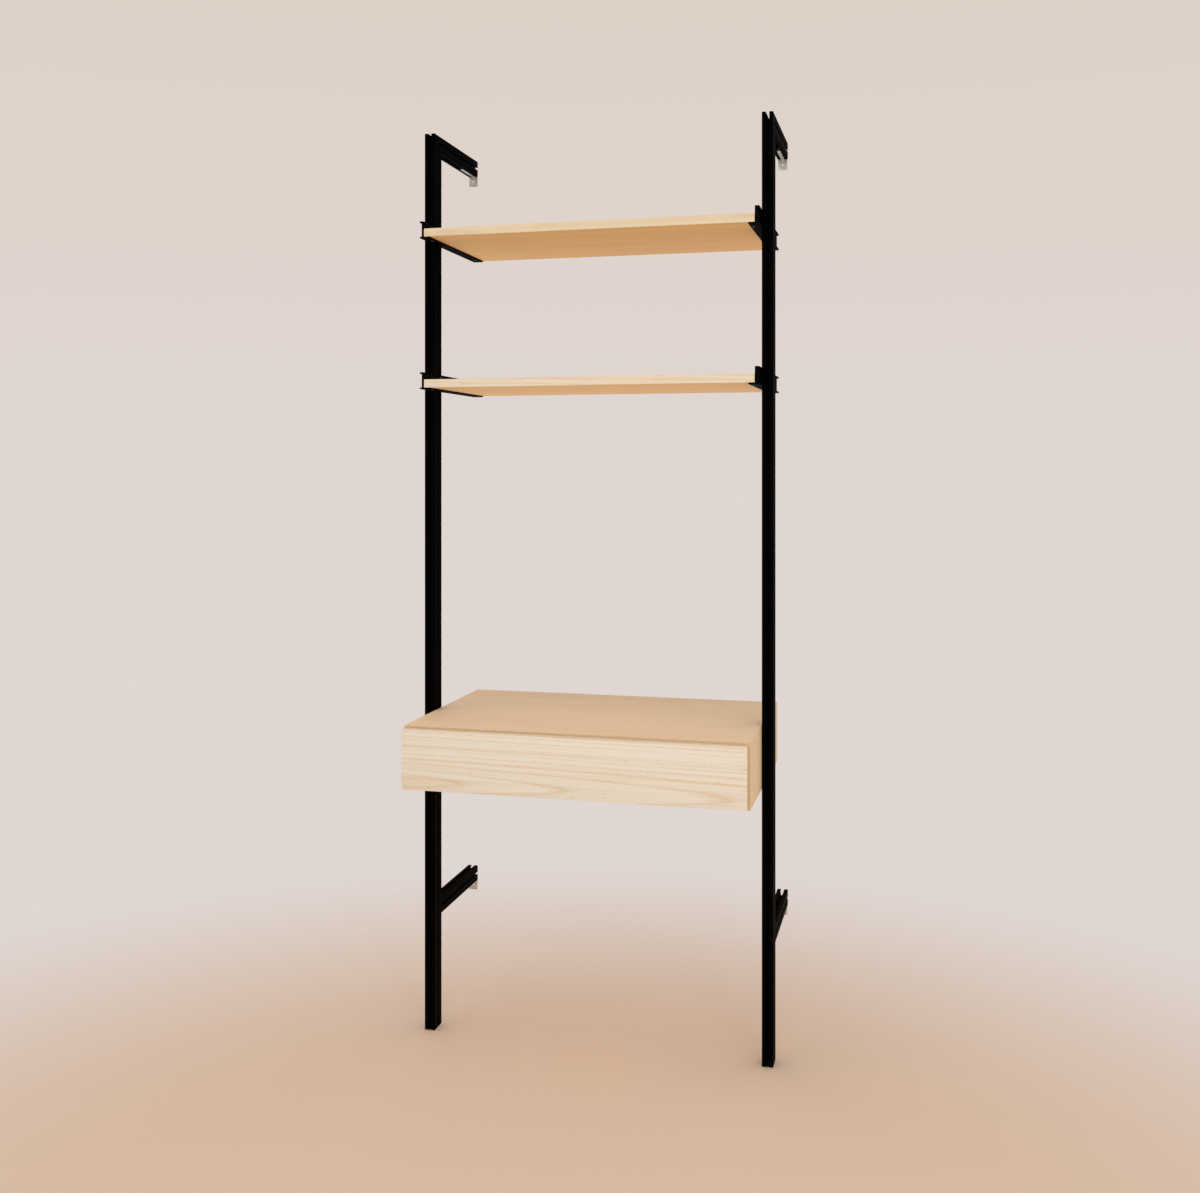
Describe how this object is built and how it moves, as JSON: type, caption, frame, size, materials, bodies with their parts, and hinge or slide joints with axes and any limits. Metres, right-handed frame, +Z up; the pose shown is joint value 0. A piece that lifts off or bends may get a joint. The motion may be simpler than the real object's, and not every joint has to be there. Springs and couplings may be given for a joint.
{
  "type": "shelving unit with desk",
  "caption": "Wall-fixed shelving unit: black slotted posts on arms carry light wooden shelves and a floating desk with a wide drawer",
  "frame": {"origin": "on the floor, midway between the posts and midway between the drawer front's face and the wall", "axes": "+X to the right along the wall, +Y towards the wall, +Z up"},
  "size_m": [0.828, 0.521, 2.1336],
  "materials": {
    "black_extrusion": "black anodised extrusion, satin",
    "black_bracket": "black anodised extrusion, satin",
    "black_screws": "black oxide steel",
    "raw_steel": "bare metal, lightly brushed",
    "zinc_steel": "zinc plated steel",
    "slide_steel": "zinc plated rolled steel",
    "shelf_wood": "light ash, matt lacquer",
    "front_wood": "light ash with cathedral grain, matt lacquer",
    "case_wood": "light ash, matt lacquer",
    "box_wood": "light birch, sealed"
  },
  "bodies": {
    "frame": {"left_post": "black_extrusion", "right_post": "black_extrusion", "left_foot_plate": "raw_steel", "right_foot_plate": "raw_steel", "foot_plate_screws": "zinc_steel", "upper_left_arm": "black_extrusion", "upper_left_wall_bracket": "raw_steel", "upper_left_shelf_bracket": "black_bracket", "upper_right_arm": "black_extrusion", "upper_right_wall_bracket": "raw_steel", "upper_right_shelf_bracket": "black_bracket", "upper_shelf": "shelf_wood", "lower_left_arm": "black_extrusion", "lower_left_wall_bracket": "raw_steel", "lower_left_shelf_bracket": "black_bracket", "lower_right_arm": "black_extrusion", "lower_right_wall_bracket": "raw_steel", "lower_right_shelf_bracket": "black_bracket", "lower_shelf": "shelf_wood", "upper_left_corner_connector": "raw_steel", "upper_right_corner_connector": "raw_steel", "corner_grub_screws": "zinc_steel", "arm_anchor_sleeves": "zinc_steel", "arm_anchor_bolts": "zinc_steel", "wall_bracket_grub_screws": "zinc_steel", "shelf_screws": "black_screws", "shelf_bracket_bolts": "black_screws", "shelf_bracket_nuts": "black_screws", "desk_top": "case_wood", "desk_bottom": "case_wood", "desk_back": "case_wood", "desk_left_side": "case_wood", "desk_right_side": "case_wood", "desk_mounting_bolts": "black_screws", "desk_mounting_nuts": "zinc_steel", "left_slide_outer": "slide_steel", "right_slide_outer": "slide_steel", "slide_case_screws": "zinc_steel"},
    "drawer": {"drawer_front": "front_wood", "drawer_left_side": "box_wood", "drawer_right_side": "box_wood", "drawer_box_front": "box_wood", "drawer_box_back": "box_wood", "drawer_bottom": "box_wood", "drawer_front_screws": "zinc_steel", "left_slide_inner": "slide_steel", "right_slide_inner": "slide_steel", "slide_drawer_screws": "zinc_steel"},
    "left_middle_channel": {"left_slide_middle": "slide_steel"},
    "right_middle_channel": {"right_slide_middle": "slide_steel"}
  },
  "joints": [
    {"name": "drawer_slide", "type": "slide", "parent": "frame", "child": "drawer", "axis": [0, -1, 0], "range_m": [-0.0025, 0.4]},
    {"name": "left_middle_slide", "type": "slide", "parent": "frame", "child": "left_middle_channel", "axis": [0, -1, 0], "range_m": [-0.00125, 0.2]},
    {"name": "right_middle_slide", "type": "slide", "parent": "frame", "child": "right_middle_channel", "axis": [0, -1, 0], "range_m": [-0.00125, 0.2]}
  ],
  "couplings": [
    {"joint": "left_middle_slide", "follows": "drawer_slide", "ratio": 0.5},
    {"joint": "right_middle_slide", "follows": "drawer_slide", "ratio": 0.5}
  ]
}
